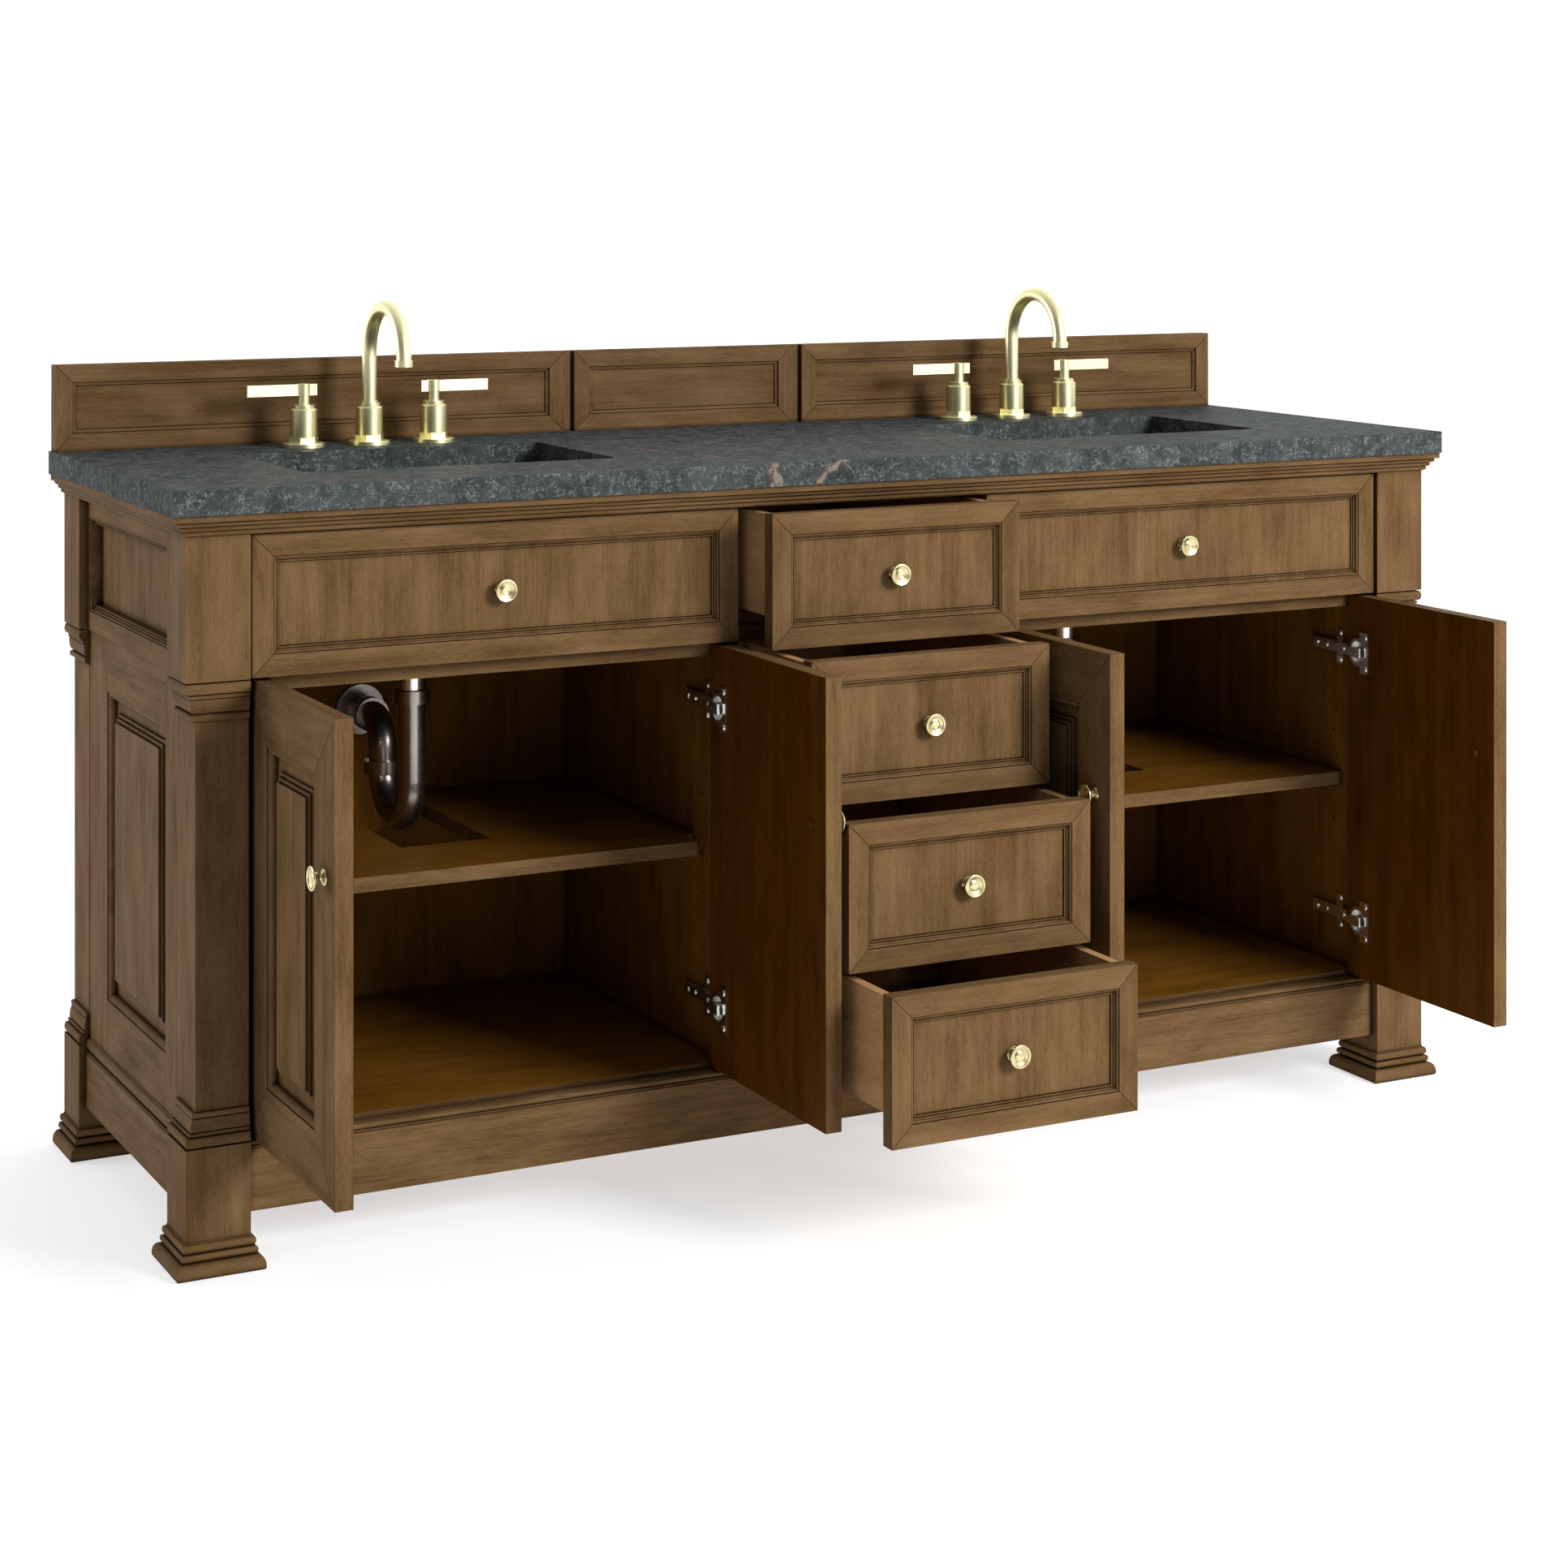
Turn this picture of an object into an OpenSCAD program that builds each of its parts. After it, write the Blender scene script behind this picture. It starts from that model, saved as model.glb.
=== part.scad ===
// Double-sink bathroom vanity cabinet: a post-and-panel wooden case with a stone top,
// four hinged doors, four drawers, two tip-out trays and two widespread faucets.
// Millimetres, +Z up, front towards -Y. The shown state is the open one: doors at
// 90 degrees and the drawers pulled out in steps.

/* [Overall] */
// Width of the stone top
top_w = 1829; // [1820:1:1850]
// Depth of the stone top, from the wall to its front edge
top_d = 589; // [587:1:600]
// Height of the stone top's upper face above the floor
top_h = 910; // [908:1:925]
// Thickness of the stone top
top_t = 30; // [26:1:30]
// Height of the wooden backsplash above the stone top
splash_h = 113.6; // [90:0.1:130]

/* [Sinks and faucets] */
// Distance of each sink's centre from the cabinet's centre
sink_x = 499; // [495:1:503]
// Width of a sink's cut-out
sink_w = 418; // [380:1:420]
// Depth of a sink's cut-out, front to back
sink_d = 266; // [240:1:268]
// Depth of a basin below the stone top's upper face
sink_deep = 145; // [120:1:150]
// Spacing of a faucet handle from its spout
handle_gap = 92; // [80:1:100]
// Height of a spout above the stone top
spout_h = 197; // [180:1:210]

/* [Doors and drawers] */
// Width of one door
door_w = 311; // [308:0.5:311]
// Thickness of doors and drawer fronts
door_t = 21.3; // [20:0.1:21.5]
// Projection of a knob from the face it is screwed to
knob_h = 17.2; // [15:0.1:17.3]
// Pull-out of drawer 1 (top) in the shown state
pull_1 = 88; // [0:1:380]
// Pull-out of drawer 2
pull_2 = 175; // [0:1:380]
// Pull-out of drawer 3
pull_3 = 270; // [0:1:380]
// Pull-out of drawer 4 (bottom) in the shown state
pull_4 = 375; // [0:1:400]
// Opening angle of the doors in the shown state
door_open = 90; // [0:1:90]

/* [Hidden] */
$fn = 48;

wood = "#7a6044";
dark_wood = "#4a3018";
pale_wood = "#c9a982";
stone = "#3f4748";
brass = "#b39a5e";
nickel = "#b8b8b4";
dark_chrome = "#4a4644";

eps = 0.01;

// Case planes, measured from the wall (Y) and from the centre (X).
post_out = top_w / 2 - 19.9;
post_in = post_out - 77.6;
post_face = -(top_d - 20.6);
post_rear = post_face + 77.6;
shaft_side = 13.6;
shaft_front = 8.2;
back_post_face = -80.5;
back_post_rear = -4;
leaf_face = post_face + 4.9;
leaf_back = leaf_face + door_t;
case_front = post_face + 33.9;
back_face = -42.6;
back_t = 7;
liner_in = post_in - 14;
part_in = 177;
part_out = 195;
stile_in = 172.5;
stile_out = 181.5;
stile_face = -560;
bay_mid = 499;
skirt_out = 886;
skirt_face = -555 - (top_d - 589);
// Holes: shelf pins, along the depth; wall screws through the hanging rail and the back.
pin_y = [-487, -78];
screw_x = [-762, -254, 254, 762];
screw_z = 820;
screw_r = 2.75;

// Side frames between the posts: planes, members and openings.
side_d = back_post_face - post_rear;
upper_x = post_out - 11.6;
lower_x = post_out - 14.2;
side_low = 156;
side_split = 684;
upper_stile = 7.8;
upper_rail = 25;
upper_open_h = 121;
lower_stile = 56.8;
lower_rail = 68;
lower_open_w = side_d - lower_stile - 86.5;
lower_open_h = 392;

// Levels above the floor.
top_low = top_h - top_t;
crown_low = top_low - 25.4;
block_low = 685.3;
cap_low = 638.5;
base_high = 187;
base_low = 146;
foot_high = 40;
floor_high = 151;
floor_low = 133;
door_low = 147;
door_high = 682;
front_low = 685.4;
front_high = 852.8;

// Doors: a pivot that lets the door swing flush between the closed and open places.
pivot_dx = 12.7;
pivot_dy = 12.3;
door_h = door_high - door_low;
door_edge = post_in - 6;
door_frame_w = 70;
rebate = 9;
hinge_z = [226, 603];
knob_inset = 34.5;
knob_z = 504;

// Fronts: [low, high, half width, pull-out] of each drawer, top to bottom.
drawers = [[685.4, 853, 178, pull_1], [505.7, 682, 169, pull_2],
           [326.3, 502.7, 169, pull_3], [147, 323.3, 169, pull_4]];
box_half = 165;
box_wall = 12;
box_long = 440;
box_rise = 36.5;
box_drop = 4;
front_frame_w = 26;
front_recess = 8;
tip_in = 182;
tip_out = post_in - 3;

// Sinks, faucets and traps.
sink_y = -298;
faucet_y = -94.5;
faucet_x = sink_x + 6;
spout_reach = 135;
spout_r = 10;
body_z = 56;
hub_z = 68;
tail_y = -245;
trap_x = sink_x + 1;
tube_r = 18.5;
tube_wall = 2;
bend_r = 55;
bend_z = 482;
elbow_r = 40;
arm_z = 545;
arm_r = 16;
arm_y = tail_y + 2 * bend_r + elbow_r;

// Depth of the whole object: from the lowest drawer's knob to the wall. The frame's
// origin is on the floor, in the middle of that depth.
reach = -leaf_face + max(pull_1, pull_2, pull_3, pull_4) + knob_h - front_recess;
wall_y = reach / 2;

// ---------- outlines ----------

function arc(cx, cy, r, a0, a1, n = 6) =
    [for (i = [0:n]) let (a = a0 + (a1 - a0) * i / n) [cx + r * cos(a), cy + r * sin(a)]];

// Points of a half-round bead between two heights, standing out from p0 to p1.
function bead(p0, p1, z0, z1, n = 8) =
    [for (i = [0:n]) let (a = -90 + 180 * i / n)
        [p0 + (p1 - p0) * cos(a), (z0 + z1) / 2 + (z1 - z0) / 2 * sin(a)]];

// Points of a hollow quarter between two corners: flat at the first, steep at the second.
function cove(p0, z0, p1, z1, n = 6) =
    [for (i = [0:n]) let (a = 90 * i / n) [p0 + (p1 - p0) * sin(a), z0 + (z1 - z0) * (1 - cos(a))]];

function flip(points) = [for (i = [len(points) - 1:-1:0]) points[i]];

// Capital and base: [share of the shaft's inset, height], from the bottom up.
cap_line = concat([[0.86, cap_low], [0.86, cap_low + 1]], bead(0.77, 0.5, cap_low + 1, cap_low + 9),
    [[0.86, cap_low + 9], [0.86, cap_low + 10.2]], cove(0.78, cap_low + 10.2, 0.46, cap_low + 23.4),
    [[0.46, cap_low + 26], [0.66, cap_low + 26], [0.66, cap_low + 27.2], [0.38, cap_low + 27.2],
     [0.38, cap_low + 31], [0.6, cap_low + 31], [0.6, cap_low + 32.4]],
    bead(0.24, 0, cap_low + 32.4, cap_low + 45.2), [[0.5, cap_low + 45.2], [0.5, block_low]]);
base_line = concat([[0.34, base_low], [0.34, base_low + 1.6]],
    bead(0.2, 0, base_low + 1.6, base_low + 13.2),
    [[0.56, base_low + 13.2], [0.56, base_low + 14.4], [0.36, base_low + 14.4], [0.36, base_low + 18],
     [0.6, base_low + 18], [0.6, base_low + 19]],
    flip(cove(0.8, base_high - 7, 0.5, base_low + 19)),
    [[0.92, base_high - 7], [0.92, base_high - 6], [0.66, base_high - 6], [0.66, base_high - 1],
     [0.8, base_high]]);
// Foot: [outset from the post, height].
foot_line = concat([[11.5, 0]], arc(11.5, 3, 3, -60, 0, 3), [[14.5, 6]],
    flip(cove(6, 17.4, 14.5, 6)), [[3.4, 17.4], [3.4, 18.6]], bead(4.2, 7, 18.6, 27),
    [[1.6, 27], [1.6, 28.2]], bead(2.2, 5, 28.2, 38), [[0.8, 38.4], [0.8, foot_high]]);
// Crown: [outset from the post, height above its lower edge]. Three quarter rounds under a flat band.
crown_line = concat([[1.7, 0]], arc(1.7, 3.6, 3, -90, 0), [[4.7, 5.4], [3.7, 5.4], [3.7, 6.2]],
    arc(5.5, 9.2, 3, -90, 0), [[8.5, 11], [7.5, 11], [7.5, 11.8]],
    arc(9.7, 15, 3.2, -90, 0), [[12.9, 16.8], [11.9, 16.8], [11.9, 17.8], [18, 17.8], [18, 25.4]]);
// Skirt: [distance back from its face, height below its upper edge].
skirt_line = concat([[4, 0]], bead(1.6, 0, -1, -6, 6), [[2.4, -6.4], [2.4, -7.6]],
    bead(1.2, 0.2, -7.8, -9.6, 4), [[1.6, -10], [0, -11.5]]);
side_skirt_line = concat([[5, 0]], bead(3.4, 0, -1.4, -15, 8), [[3.4, -15.4], [3.4, -17]],
    bead(1.4, 0.2, -17.2, -19.4, 4), [[1.8, -19.8], [0, -21]]);
// Recess of a front: [distance in from the frame, depth]. A shoulder, an ogee and a fillet.
ogee_in = 5.2;
fillet_in = 8;
recess_line = concat([[0, -1], [0, 0.9], [1, 0.9]],
    [for (a = [15:15:90]) [1 + 2.1 * sin(a), 3 - 2.1 * cos(a)]],
    [for (a = [15:15:90]) [ogee_in - 2.1 * cos(a), 3 + 2.6 * sin(a)]],
    [[ogee_in, 6.2], [fillet_in, 6.2], [fillet_in, front_recess]]);
// Grooves beside those members: [distance in, width, depth].
recess_grooves = [[0, 1, 2.6], [ogee_in, 1, 7.8], [fillet_in, 1, front_recess + 1.2]];
// Shallower recess of the backsplash, a single sloping step.
splash_in = 4.6;
splash_line = [[0, -1], [0, 2], [splash_in, 3.4], [splash_in, 5]];
splash_grooves = [[0, 0.9, 3.4], [splash_in, 0.9, 6]];
// Quarter-round edge of the frame around a raised panel.
stick_in = 8;
panel_depth = 11;
stick_line = concat([[0, -1], [0, 1.2]],
    [for (a = [15:15:90]) [stick_in * sin(a), 1.2 + 6.4 * (1 - cos(a))]],
    [[stick_in, panel_depth + 1]]);
stick_grooves = [[0, 0.9, 2.6]];
// Raised field of a panel: [distance in from the opening's edge, depth], in three steps.
field_in = 24.5;
field_line = [[field_in, panel_depth], [field_in, 7.4], [field_in + 4.8, 7.4], [field_in + 4.8, 4.2],
    [field_in + 9.5, 4.2], [field_in + 9.5, 0.8]];
field_grooves = [[field_in + 3.8, 1, 8.6], [field_in + 8.5, 1, 5.4]];

// ---------- helpers ----------

module at_wall() translate([0, wall_y, 0]) children();

module both_sides() {
    children();
    mirror([1, 0, 0]) children();
}

// Box from its low corner to its high corner.
module box(lo, hi) translate(lo) cube(hi - lo);

// Solid whose rectangle, w by h, shrinks with depth as the line of [inset, depth] says.
module stepped(w, h, line) {
    intersection() {
        linear_extrude(h)
            polygon(concat(line, flip([for (p = line) [w - p.x, p.y]])));
        rotate([90, 0, 90])
            linear_extrude(w)
                polygon(concat([for (p = line) [p.y, p.x]], flip([for (p = line) [p.y, h - p.x]])));
    }
}

// Square rings cut into a face, w by h, as the list of [distance in, width, depth] says.
module ring_grooves(w, h, grooves) {
    for (r = grooves)
        difference() {
            translate([r[0], -1, r[0]])
                cube([w - 2 * r[0], r[2] + 1, h - 2 * r[0]]);
            translate([r[0] + r[1], -2, r[0] + r[1]])
                cube([w - 2 * (r[0] + r[1]), r[2] + 3, h - 2 * (r[0] + r[1])]);
        }
}

// The moulded recess of a front or of a frame, w by h at the frame's inner edge.
module moulded_recess(w, h) {
    stepped(w, h, recess_line);
    ring_grooves(w, h, recess_grooves);
}

// The opening around a raised panel, w by h at the frame's face, with its quarter-round edge.
module framed_opening(w, h) {
    stepped(w, h, stick_line);
    ring_grooves(w, h, stick_grooves);
}

// The raised field of a panel in an opening of w by h.
module raised_field(w, h) {
    difference() {
        stepped(w, h, concat([[field_in, panel_depth + eps]], field_line));
        ring_grooves(w, h, field_grooves);
    }
}

// Thin lines where the four pieces of a frame meet at 45 degrees.
module mitre_lines(w, h, f, line_w = 0.7, line_d = 0.8) {
    angle = [[-45, 45], [-135, 135]];
    for (i = [0, 1], k = [0, 1])
        translate([i * w, 0, k * h])
            rotate([0, angle[i][k], 0])
                translate([-1, -line_d, -line_w / 2])
                    cube([f * sqrt(2) + 1, 2 * line_d, line_w]);
}

// Rectangle with round corners, made of exact pieces.
module round_rect(w, d, r) {
    square([w - 2 * r, d], center = true);
    square([w, d - 2 * r], center = true);
    for (x = [-1, 1], y = [-1, 1])
        translate([x * (w / 2 - r), y * (d / 2 - r)])
            circle(r);
}

// Solid bend in the YZ plane: radius, tube radius, first angle from +Y towards +Z, sweep.
module bend(r, tube, from, sweep) {
    rotate([90, 0, 90])
        rotate([0, 0, from])
            rotate_extrude(angle = sweep)
                translate([r, 0])
                    circle(tube);
}

// ---------- stone top and plumbing ----------

module sink_opening(grow = 0) {
    round_rect(sink_w + 2 * grow, sink_d + 2 * grow, 9 + grow);
}

module countertop() {
    at_wall()
        color(stone)
            difference() {
                box([-top_w / 2, -top_d, top_low], [top_w / 2, 0, top_h]);
                both_sides() {
                    translate([sink_x, sink_y, top_low - 1])
                        linear_extrude(top_t + 2)
                            sink_opening();
                    for (x = [-handle_gap, 0, handle_gap])
                        translate([faucet_x + x, faucet_y, top_low - 1])
                            cylinder(r = 17.5, h = top_t + 2);
                }
            }
}

module sink_basins() {
    wall = 12;
    bottom = top_h - sink_deep;
    at_wall()
        color(stone)
            both_sides()
                difference() {
                    translate([sink_x, sink_y, bottom - wall])
                        linear_extrude(top_low - bottom + wall)
                            sink_opening(wall);
                    translate([sink_x, sink_y, bottom])
                        linear_extrude(sink_deep)
                            sink_opening();
                    translate([trap_x, tail_y, bottom - wall - 1])
                        cylinder(r = 22.5, h = wall + 2);
                }
}

module drain_fittings() {
    bottom = top_h - sink_deep;
    at_wall()
        color(nickel)
            both_sides()
                translate([trap_x, tail_y, 0]) {
                    // Strainer body, clamped from below by a nut.
                    difference() {
                        union() {
                            translate([0, 0, bottom])
                                cylinder(r = 31, h = 2.6);
                            translate([0, 0, 690])
                                cylinder(r = 21, h = bottom - 690 + 1);
                            translate([0, 0, bottom - 28])
                                cylinder(r = 31, h = 16, $fn = 6);
                            translate([0, 0, 603])
                                cylinder(r = 19, h = 88);
                            translate([0, 0, 640])
                                cylinder(r = 25, h = 22, $fn = 8);
                        }
                        translate([0, 0, 602])
                            cylinder(r = 16, h = 84);
                        translate([0, 0, 685])
                            cylinder(r = 18.5, h = 90);
                    }
                    // Pop-up stopper.
                    translate([0, 0, bottom + 3.6])
                        rotate_extrude()
                            polygon(concat([[0, 0]], [[21, 0]], arc(19, 2, 2, -60, 70, 4), [[0, 6]]));
                    translate([0, 0, bottom - 40])
                        cylinder(r = 4, h = 44);
                    translate([-18.6, -2, bottom - 40])
                        cube([37.2, 4, 4]);
                }
}

// The trap's run from the tailpiece to the end of its elbow, as a solid of radius r.
module trap_run(r, over = 0) {
    translate([0, tail_y, bend_z])
        cylinder(r = r, h = 603 - bend_z + over);
    translate([0, tail_y + bend_r, bend_z])
        bend(bend_r, r, 180, 180);
    translate([0, tail_y + 2 * bend_r, bend_z])
        cylinder(r = r, h = arm_z - elbow_r - bend_z);
    translate([0, arm_y, arm_z - elbow_r])
        bend(elbow_r, r, 90, 90);
}

module trap_tubes() {
    at_wall()
        color(dark_chrome)
            both_sides()
                translate([trap_x, 0, 0])
                    difference() {
                        union() {
                            trap_run(tube_r);
                            // Slip nuts on the two upright legs.
                            translate([0, tail_y, 585])
                                cylinder(r = 24.5, h = 17);
                            translate([0, tail_y + 2 * bend_r, 475])
                                cylinder(r = 24.5, h = 17);
                            // Arm to the wall, with its nut, wall flange and stop ring.
                            translate([0, arm_y, arm_z])
                                rotate([-90, 0, 0]) {
                                    cylinder(r = 23, h = 17);
                                    cylinder(r = arm_r, h = -arm_y);
                                    translate([0, 0, back_face - 3 - arm_y])
                                        cylinder(r = 34, h = 3);
                                    translate([0, 0, -33 - arm_y])
                                        cylinder(r = 18, h = 3);
                                }
                        }
                        trap_run(tube_r - tube_wall, 1);
                        translate([0, arm_y, arm_z])
                            rotate([-90, 0, 0])
                                cylinder(r = arm_r - 1.5, h = 1 - arm_y);
                    }
}

// ---------- faucets ----------

// Round foot, hexagon and body that the spout and the valves share; z = 0 on the stone.
module faucet_body() {
    rotate_extrude()
        polygon(concat([[0, 0], [28, 0], [28, 4.6]], arc(26.9, 4.6, 1.1, 0, 90, 3), [[16, 5.7], [0, 5.7]]));
    translate([0, 0, 5.7 - eps])
        cylinder(r = 20.2, h = 7.7, $fn = 6);
    rotate_extrude()
        polygon([[0, 13], [18, 13], [18, 49.6], [17.2, 50.8], [15, 51.8], [15, body_z], [0, body_z]]);
    // Threaded shank through the stone and the nut below it.
    translate([0, 0, -top_t - 50])
        cylinder(r = 10.2, h = top_t + 50 + eps);
    translate([0, 0, -top_t - 15])
        cylinder(r = 21, h = 12, $fn = 6);
    translate([0, 0, -top_t - 3])
        cylinder(r = 25, h = 3);
}

// Solid run of the spout above its body, of radius r; the outlet may run on by over.
module spout_run(r, over = 0) {
    bow_r = spout_reach / 2;
    bow_z = spout_h - spout_r - bow_r;
    translate([0, 0, body_z])
        cylinder(r = r, h = bow_z - body_z);
    translate([0, -bow_r, bow_z])
        bend(bow_r, r, 0, 180);
    translate([0, -spout_reach, bow_z - 5 - over])
        cylinder(r = r, h = 5 + over);
}

module faucet_spouts() {
    bore = 7.5;
    outlet_z = spout_h - spout_r - spout_reach / 2 - 8;
    at_wall()
        color(brass)
            both_sides()
                translate([faucet_x, faucet_y, top_h])
                    difference() {
                        union() {
                            faucet_body();
                            spout_run(spout_r);
                            translate([0, 0, body_z])
                                cylinder(r = 11.6, h = 3);
                            translate([0, -spout_reach, outlet_z])
                                cylinder(r = 12, h = 8);
                        }
                        spout_run(bore, 6);
                        translate([0, 0, -top_t - 51])
                            cylinder(r = bore, h = top_t + 51 + body_z);
                    }
}

module faucet_valves() {
    at_wall()
        color(brass)
            both_sides()
                for (x = [-handle_gap, handle_gap])
                    translate([faucet_x + x, faucet_y, top_h]) {
                        faucet_body();
                        translate([0, 0, body_z - eps])
                            cylinder(r = 8, h = hub_z - body_z);
                        translate([0, 0, body_z])
                            cylinder(r = 4, h = 22);
                    }
}

// Lever i, 1 to 4 from left to right: its bar points outwards from the spout.
module faucet_lever(i) {
    side = i < 3 ? -1 : 1;
    way = i % 2 == 1 ? -1 : 1;
    at_wall()
        color(brass)
            translate([side * faucet_x + way * handle_gap, faucet_y, top_h + hub_z + 0.3])
                difference() {
                    union() {
                        cylinder(r = 8.75, h = 15.7);
                        mirror([way < 0 ? 1 : 0, 0, 0])
                            translate([-18, -2.5, 0.4])
                                cube([96, 5, 15]);
                    }
                    translate([0, 0, -1])
                        cylinder(r = 4.05, h = 12);
                }
}

// ---------- case ----------

module backsplash_panels() {
    edge = 911;
    joint = 181.5;
    frame_gap = 7.5;
    board_t = 14;
    thick = 22;
    frame = 23;
    at_wall()
        color(wood)
            for (span = [[-edge, -joint], [-joint + 0.2, joint - 0.2], [joint, edge]]) {
                x0 = span[0] == -edge ? -edge : span[0] + frame_gap;
                x1 = span[1] == edge ? edge : span[1] - frame_gap;
                difference() {
                    box([span[0], -thick, top_h], [span[1], 0, top_h + splash_h]);
                    // Beside a joint only the board is left.
                    if (x0 > span[0])
                        box([span[0] - 1, -thick - 1, top_h - 1], [x0, -board_t, top_h + splash_h + 1]);
                    if (x1 < span[1])
                        box([x1, -thick - 1, top_h - 1], [span[1] + 1, -board_t, top_h + splash_h + 1]);
                    translate([x0 + frame, -thick, top_h + frame]) {
                        stepped(x1 - x0 - 2 * frame, splash_h - 2 * frame, splash_line);
                        ring_grooves(x1 - x0 - 2 * frame, splash_h - 2 * frame, splash_grooves);
                    }
                    translate([x0, -thick, top_h])
                        mitre_lines(x1 - x0, splash_h, frame);
                }
            }
}

module crown_moulding() {
    back = back_post_rear;
    half = post_out + 20;
    x_line = concat([for (p = crown_line) [post_out + p.x, crown_low + p.y]],
        flip([for (p = crown_line) [-post_out - p.x, crown_low + p.y]]));
    y_line = concat([for (p = crown_line) [post_face - p.x, crown_low + p.y]],
        [[back, top_low], [back, crown_low]]);
    at_wall()
        color(wood)
            difference() {
                intersection() {
                    translate([0, back, 0])
                        rotate([90, 0, 0])
                            linear_extrude(top_d)
                                polygon(x_line);
                    translate([-half, 0, 0])
                        rotate([90, 0, 90])
                            linear_extrude(2 * half)
                                polygon(y_line);
                }
                box([-post_in + 15, post_rear, crown_low - 1], [post_in - 15, 1, top_low + 1]);
            }
}

// Front post on the +X side, and the back post behind it.
module post(front) {
    y0 = front ? post_face : back_post_face;
    y1 = front ? post_rear : back_post_rear;
    inset_y = front ? shaft_front : 0;
    box([post_in, y0, block_low], [post_out, y1, crown_low]);
    box([post_in, y0 + inset_y, base_low - eps], [post_out - shaft_side, y1, block_low + eps]);
    box([post_in, y0, foot_high], [post_out, y1, base_low]);
}

module corner_posts() {
    at_wall()
        color(wood)
            both_sides() {
                post(true);
                post(false);
            }
}

// Moulding that wraps a post's outer and front faces, along a line of [share, height].
module post_wrap(front, line) {
    y0 = front ? post_face : back_post_face;
    y1 = front ? post_rear : back_post_rear;
    inset_y = front ? shaft_front : 0;
    z0 = line[0].y;
    z1 = line[len(line) - 1].y;
    difference() {
        intersection() {
            translate([0, y1, 0])
                rotate([90, 0, 0])
                    linear_extrude(y1 - y0 + 1)
                        polygon(concat([for (p = line) [post_out - shaft_side * p.x, p.y]],
                            [[post_in, z1], [post_in, z0]]));
            translate([post_in, 0, 0])
                rotate([90, 0, 90])
                    linear_extrude(post_out - post_in + 1)
                        polygon(concat([for (p = line) [y0 + inset_y * p.x, p.y]],
                            [[y1, z1], [y1, z0]]));
        }
        box([post_in - 1, y0 + inset_y, z0 - 1], [post_out - shaft_side, y1 + 1, z1 + 1]);
    }
}

module post_capitals() {
    at_wall()
        color(wood)
            both_sides() {
                post_wrap(true, cap_line);
                post_wrap(false, cap_line);
            }
}

module post_bases() {
    at_wall()
        color(wood)
            both_sides() {
                post_wrap(true, base_line);
                post_wrap(false, base_line);
            }
}

module foot(front) {
    y0 = front ? post_face : back_post_face;
    y1 = front ? post_rear : back_post_rear;
    room = 20;
    intersection() {
        translate([0, y1 + room, 0])
            rotate([90, 0, 0])
                linear_extrude(y1 - y0 + 2 * room)
                    polygon(concat([for (p = foot_line) [post_out + p.x, p.y]],
                        flip([for (p = foot_line) [post_in - p.x, p.y]])));
        translate([post_in - room, 0, 0])
            rotate([90, 0, 90])
                linear_extrude(post_out - post_in + 2 * room)
                    polygon(concat([for (p = foot_line) [y0 - p.x, p.y]],
                        flip([for (p = foot_line) [min(y1 + p.x, 0), p.y]])));
    }
}

module post_feet() {
    at_wall()
        color(wood)
            both_sides() {
                foot(true);
                foot(false);
            }
}

// Panel plane of the case's side, seen from outside: local x runs along Y, depth inwards.
module on_side(face, y0, z0) {
    translate([face, y0, z0])
        rotate([0, 0, 90])
            children();
}

module side_frames() {
    at_wall()
        color(wood)
            both_sides() {
                // Upper frame, around the deep flat panel.
                on_side(upper_x, post_rear, side_split)
                    difference() {
                        cube([side_d, 26, crown_low - side_split]);
                        translate([upper_stile, 0, upper_rail])
                            moulded_recess(side_d - 2 * upper_stile, upper_open_h);
                        translate([upper_stile + fillet_in, 0, upper_rail + fillet_in])
                            cube([side_d - 2 * (upper_stile + fillet_in), 27, upper_open_h - 2 * fillet_in]);
                    }
                // Lower frame, around the raised panel, with lines between stiles and rails.
                on_side(lower_x, post_rear, side_low)
                    difference() {
                        cube([side_d, 18, side_split - side_low]);
                        translate([lower_stile, 0, lower_rail]) {
                            framed_opening(lower_open_w, lower_open_h);
                            translate([stick_in, panel_depth, stick_in])
                                cube([lower_open_w - 2 * stick_in, 8, lower_open_h - 2 * stick_in]);
                        }
                        for (x = [lower_stile, lower_stile + lower_open_w], z = [0, 1])
                            translate([x - 0.35, -1, z == 0 ? -1 : lower_rail + lower_open_h - eps])
                                cube([0.7, 1.8, z == 0 ? lower_rail + 1 + eps : 60]);
                    }
            }
}

module side_panels() {
    at_wall()
        color(wood)
            both_sides() {
                on_side(upper_x, post_rear + upper_stile + fillet_in, side_split + upper_rail + fillet_in)
                    translate([0, 15, 0])
                        cube([side_d - 2 * (upper_stile + fillet_in), 8, upper_open_h - 2 * fillet_in]);
                on_side(lower_x, post_rear + lower_stile, side_low + lower_rail) {
                    translate([stick_in, panel_depth, stick_in])
                        cube([lower_open_w - 2 * stick_in, 7, lower_open_h - 2 * stick_in]);
                    raised_field(lower_open_w, lower_open_h);
                }
            }
}

module skirts() {
    t = 20;
    side_top = 156;
    front_top = 144.5;
    at_wall()
        color(wood) {
            // Front skirt.
            translate([-post_in, 0, 0])
                rotate([90, 0, 90])
                    linear_extrude(2 * post_in)
                        polygon(concat([[case_front, 61], [case_front, front_top]],
                            [for (p = skirt_line) [skirt_face + p.x, front_top + p.y]], [[skirt_face, 61]]));
            // Side skirts.
            both_sides()
                translate([0, back_post_face, 0])
                    rotate([90, 0, 0])
                        linear_extrude(back_post_face - post_rear)
                            polygon(concat([[skirt_out - t, 66], [skirt_out - t, side_top]],
                                [for (p = side_skirt_line) [skirt_out - p.x, side_top + p.y]],
                                [[skirt_out, 66]]));
        }
}

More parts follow.
